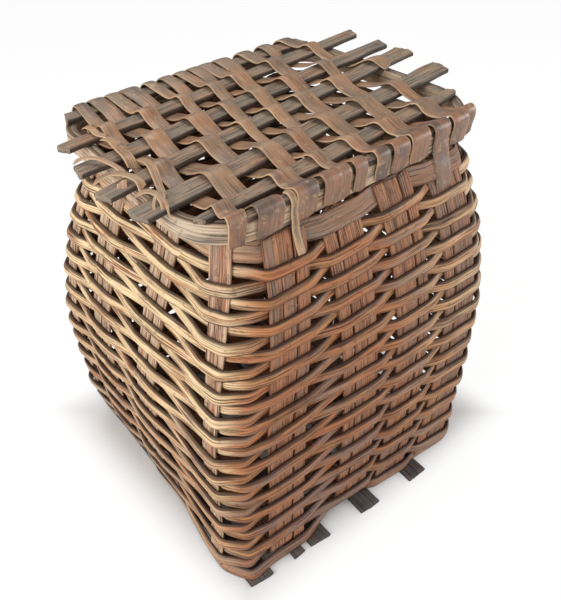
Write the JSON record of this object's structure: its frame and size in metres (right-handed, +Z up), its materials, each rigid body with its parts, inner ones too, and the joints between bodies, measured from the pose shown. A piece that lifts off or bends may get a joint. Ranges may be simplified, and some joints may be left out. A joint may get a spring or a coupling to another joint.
{
  "type": "wicker fishing creel",
  "caption": "Tall splint wicker creel with a bulging woven body, round weavers over flat stakes, and a flat woven lid hinged along its front rim.",
  "frame": {"origin": "middle of the whole part's box, on the surface that it stands on", "axes": "+Z up, X along the hinged front side, +Y towards the back"},
  "size_m": [0.3077, 0.2788, 0.3025],
  "materials": {
    "dark_slat": "dark, dry, weathered flat slats",
    "stake_splint": "dry split wood with open grain",
    "weaver_rod": "aged varnished half-round rods with dark bark edges",
    "rim_splint": "aged flat splint, satin",
    "lid_hoop": "greyed bent wood",
    "lid_stave": "greyed flat slats with split edges",
    "bark_strip": "smooth inner bark strips with pale edges"
  },
  "bodies": {
    "basket": {"base_runner_1": "dark_slat", "base_runner_2": "dark_slat", "base_runner_3": "dark_slat", "base_runner_4": "dark_slat", "base_runner_5": "dark_slat", "front_stake_1": "stake_splint", "front_stake_2": "stake_splint", "front_stake_3": "stake_splint", "front_stake_4": "stake_splint", "front_stake_5": "stake_splint", "front_stake_6": "stake_splint", "front_stake_7": "stake_splint", "front_stake_8": "stake_splint", "hinge_tail_1": "bark_strip", "hinge_tail_2": "bark_strip", "rim_band": "rim_splint", "side_stake_1": "stake_splint", "side_stake_2": "stake_splint", "side_stake_3": "stake_splint", "side_stake_4": "stake_splint", "side_stake_5": "stake_splint", "side_stake_6": "stake_splint", "weaver_rows_1": "weaver_rod", "weaver_rows_10": "weaver_rod", "weaver_rows_2": "weaver_rod", "weaver_rows_3": "weaver_rod", "weaver_rows_4": "weaver_rod", "weaver_rows_5": "weaver_rod", "weaver_rows_6": "weaver_rod", "weaver_rows_7": "weaver_rod", "weaver_rows_8": "weaver_rod", "weaver_rows_9": "weaver_rod"},
    "lid": {"lid_hoop_inner": "lid_hoop", "lid_hoop_outer": "lid_hoop", "lid_stave_1": "lid_stave", "lid_stave_2": "lid_stave", "lid_stave_3": "lid_stave", "lid_stave_4": "lid_stave", "lid_stave_5": "lid_stave", "lid_stave_6": "lid_stave", "lid_stave_7": "lid_stave", "lid_strip_1": "bark_strip", "lid_strip_10": "bark_strip", "lid_strip_11": "bark_strip", "lid_strip_12": "bark_strip", "lid_strip_13": "bark_strip", "lid_strip_14": "bark_strip", "lid_strip_2": "bark_strip", "lid_strip_3": "bark_strip", "lid_strip_4": "bark_strip", "lid_strip_5": "bark_strip", "lid_strip_6": "bark_strip", "lid_strip_7": "bark_strip", "lid_strip_8": "bark_strip", "lid_strip_9": "bark_strip", "lid_thong": "bark_strip"}
  },
  "joints": [
    {"name": "lid_hinge", "type": "hinge", "parent": "basket", "child": "lid", "pos_m": [0, -0.0925, 0.2827], "axis": [1, 0, 0], "range_deg": [0, 110]}
  ]
}
